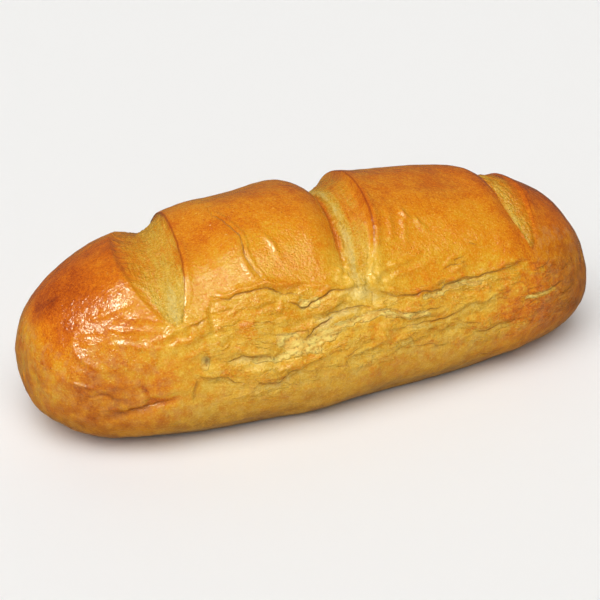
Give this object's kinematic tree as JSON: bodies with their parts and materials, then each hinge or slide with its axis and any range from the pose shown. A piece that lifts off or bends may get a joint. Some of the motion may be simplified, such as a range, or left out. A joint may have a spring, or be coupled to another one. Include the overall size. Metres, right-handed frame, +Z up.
{
  "type": "mixed wheat bread",
  "caption": "Long free-standing loaf of mixed wheat bread with a domed golden crust, slashed across the top, flat underneath.",
  "frame": {"origin": "middle of the box of the loaf, at the height of its flat underside", "axes": "+X along the loaf, +Z up, -Y towards the side whose crust tore most"},
  "size_m": [0.3008, 0.1288, 0.094],
  "materials": {
    "crust": "golden-brown egg-washed bread crust, glossy on top and paler where it tore"
  },
  "bodies": {
    "root": {"loaf": "crust"}
  },
  "joints": []
}
